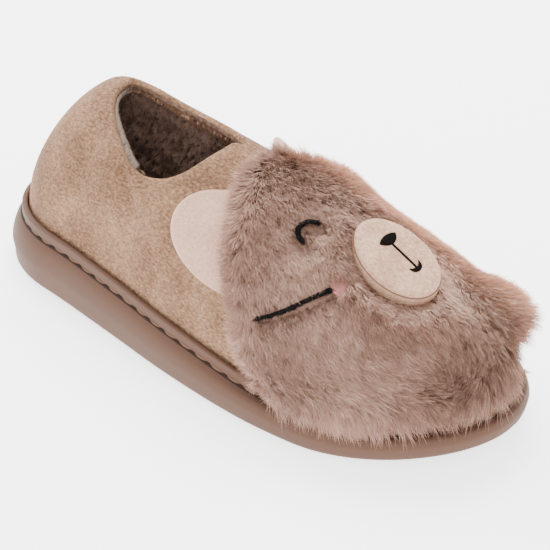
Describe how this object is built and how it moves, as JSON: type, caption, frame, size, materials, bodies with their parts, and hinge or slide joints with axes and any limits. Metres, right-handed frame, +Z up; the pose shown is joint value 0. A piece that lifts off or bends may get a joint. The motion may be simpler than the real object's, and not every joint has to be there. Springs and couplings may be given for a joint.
{
  "type": "house slipper",
  "caption": "Closed-back house slipper with a soft short-pile upper, a long-pile fur vamp made as a sleeping bear's face, and a thick smooth cup sole.",
  "frame": {"origin": "on the sole's flat underside, midway between heel and toe", "axes": "+Z up from the floor, -Y towards the toe, +X towards the medial side of this right slipper"},
  "size_m": [0.1149, 0.2713, 0.0981],
  "materials": {
    "outsole": "smooth matt foamed rubber, grey-brown",
    "insole": "dark brown plush over foam",
    "upper": "beige short-pile velour outside, dark plush inside",
    "fur_vamp": "long-pile pinkish brown imitation fur",
    "ear_lateral": "pale pink brushed fabric",
    "ear_medial": "pale pink brushed fabric",
    "muzzle": "cream velour over padding",
    "cheek": "pink brushed fabric"
  },
  "bodies": {
    "root": {"outsole": "outsole", "insole": "insole", "upper": "upper", "fur_vamp": "fur_vamp", "ear_lateral": "ear_lateral", "ear_medial": "ear_medial", "muzzle": "muzzle", "cheek": "cheek"}
  },
  "joints": []
}
